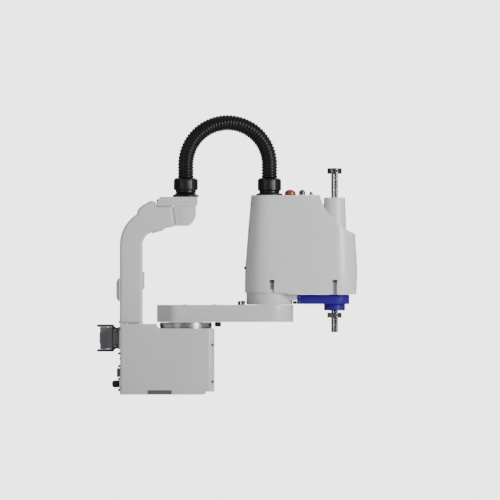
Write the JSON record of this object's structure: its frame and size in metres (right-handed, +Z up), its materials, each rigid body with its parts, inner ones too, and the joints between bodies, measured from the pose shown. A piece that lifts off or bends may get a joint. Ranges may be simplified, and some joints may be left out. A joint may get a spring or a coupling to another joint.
{
  "type": "scara robot arm",
  "caption": "Table-top four-axis SCARA arm: boxy base, rear cable column, two-link horizontal arm with a tall cover, arched conduit and a vertical ball-screw spline shaft.",
  "frame": {"origin": "on the first joint's axis, in the mounting plane under the base", "axes": "+Z up along the first joint's axis, +X the way the arm reaches at rest, +Y to the arm's left"},
  "size_m": [0.7004, 0.154, 0.7525],
  "materials": {
    "housing_paint": "light grey powder coat on cast aluminium, satin",
    "cover_paint": "light grey moulded cover, satin",
    "duct_paint": "light grey moulded duct, satin",
    "blue_paint": "deep blue enamel, satin",
    "black_plastic": "satin black",
    "motor_black": "black",
    "black_rubber": "matte",
    "conduit_black": "corrugated, semi-gloss",
    "connector_grey": "dark grey die casting",
    "machined_steel": "machined",
    "shaft_steel": "ground, with spline and screw grooves",
    "cast_aluminium": "as cast",
    "lamp_red": "translucent red lens",
    "bumper_green": "matte",
    "board_green": "solder mask"
  },
  "bodies": {
    "base": {"base_housing": "housing_paint", "base_bottom_plate": "cast_aluminium", "base_rear_panel": "housing_paint", "j1_motor": "motor_black", "j1_reducer": "machined_steel", "j1_bearing": "machined_steel", "column_post": "duct_paint", "column_elbow": "duct_paint", "elbow_cover": "duct_paint", "column_head": "duct_paint", "column_end_cap": "duct_paint", "column_lid": "duct_paint", "column_rear_cover": "duct_paint", "rear_gland_body": "black_plastic", "rear_gland_nut": "black_plastic", "cable_harness": "black_rubber", "connector_housing": "connector_grey", "connector_hood": "connector_grey", "signal_socket": "black_plastic", "power_plug": "black_rubber"},
    "arm_1": {"arm_1_casting": "housing_paint", "arm_1_cover": "housing_paint", "j1_output_flange": "machined_steel", "j1_stop_block": "black_rubber", "j2_reducer": "machined_steel", "j2_bearing": "machined_steel", "j2_stop_bolt_left": "machined_steel", "j2_stop_bolt_right": "machined_steel", "cable_conduit": "conduit_black"},
    "arm_2": {"arm_2_casting": "housing_paint", "arm_2_cover": "cover_paint", "j2_output_flange": "machined_steel", "wrist_housing": "blue_paint", "j2_stop_bumper": "bumper_green", "front_gland_body": "black_plastic", "front_gland_nut": "black_plastic", "status_lamp": "lamp_red", "brake_button_bezel": "machined_steel", "air_fitting": "machined_steel", "j2_motor": "motor_black", "j3_motor": "motor_black", "j4_motor": "motor_black", "j3_belt": "black_rubber", "j4_belt": "black_rubber", "ball_nut_bearing": "machined_steel", "ball_nut_bracket": "cast_aluminium", "wrist_bearing": "machined_steel", "circuit_board": "board_green"},
    "wrist": {"spline_nut": "machined_steel", "wrist_pulley": "cast_aluminium"},
    "shaft": {"spline_shaft": "shaft_steel", "upper_stop_collar": "black_plastic", "lower_stop_collar": "black_plastic"},
    "ball_nut": {"ball_nut": "machined_steel", "ball_nut_pulley": "cast_aluminium"},
    "j3_motor_rotor": {"j3_motor_pulley": "cast_aluminium"},
    "j4_motor_rotor": {"j4_motor_pulley": "cast_aluminium"},
    "brake_button": {"brake_release_button": "black_plastic"},
    "lever_top": {"connector_lever_top": "black_plastic"},
    "lever_bottom": {"connector_lever_bottom": "black_plastic"}
  },
  "joints": [
    {"name": "j1_base_turn", "type": "hinge", "parent": "base", "child": "arm_1", "pos_m": [0, 0, 0.1956], "axis": [0, 0, 1], "range_deg": [-132, 132]},
    {"name": "j2_elbow_turn", "type": "hinge", "parent": "arm_1", "child": "arm_2", "pos_m": [0.225, 0, 0.2424], "axis": [0, 0, -1], "range_deg": [-141, 141]},
    {"name": "j4_wrist_turn", "type": "hinge", "parent": "arm_2", "child": "wrist", "pos_m": [0.4, 0, 0.2275], "axis": [0, 0, 1], "range_deg": [-360, 360]},
    {"name": "j3_shaft_stroke", "type": "slide", "parent": "wrist", "child": "shaft", "axis": [0, 0, 1], "range_m": [-0.15, 0]},
    {"name": "ball_nut_spin", "type": "hinge", "parent": "arm_2", "child": "ball_nut", "pos_m": [0.4, 0, 0.378], "axis": [0, 0, 1], "range_deg": [-3380, 5]},
    {"name": "j3_motor_spin", "type": "hinge", "parent": "arm_2", "child": "j3_motor_rotor", "pos_m": [0.3, 0.022, 0.378], "axis": [0, 0, 1], "range_deg": [-6760, 10]},
    {"name": "j4_motor_spin", "type": "hinge", "parent": "arm_2", "child": "j4_motor_rotor", "pos_m": [0.3, -0.022, 0.345], "axis": [0, 0, 1], "range_deg": [-725, 725]},
    {"name": "brake_button_press", "type": "slide", "parent": "arm_2", "child": "brake_button", "axis": [0, 0, -1], "range_m": [0, 0.003], "stiffness_N_per_m": 300, "springref_m": -0.004},
    {"name": "lever_top_swing", "type": "hinge", "parent": "base", "child": "lever_top", "pos_m": [-0.189, 0, 0.174], "axis": [0, 1, 0], "range_deg": [0, 40]},
    {"name": "lever_bottom_swing", "type": "hinge", "parent": "base", "child": "lever_bottom", "pos_m": [-0.189, 0, 0.131], "axis": [0, -1, 0], "range_deg": [0, 40]}
  ],
  "couplings": [
    {"joint": "ball_nut_spin", "follows": "j3_shaft_stroke", "rad_per_m": 392.7},
    {"joint": "j3_motor_spin", "follows": "j3_shaft_stroke", "rad_per_m": 785.4},
    {"joint": "j4_motor_spin", "follows": "j4_wrist_turn", "ratio": 2}
  ]
}
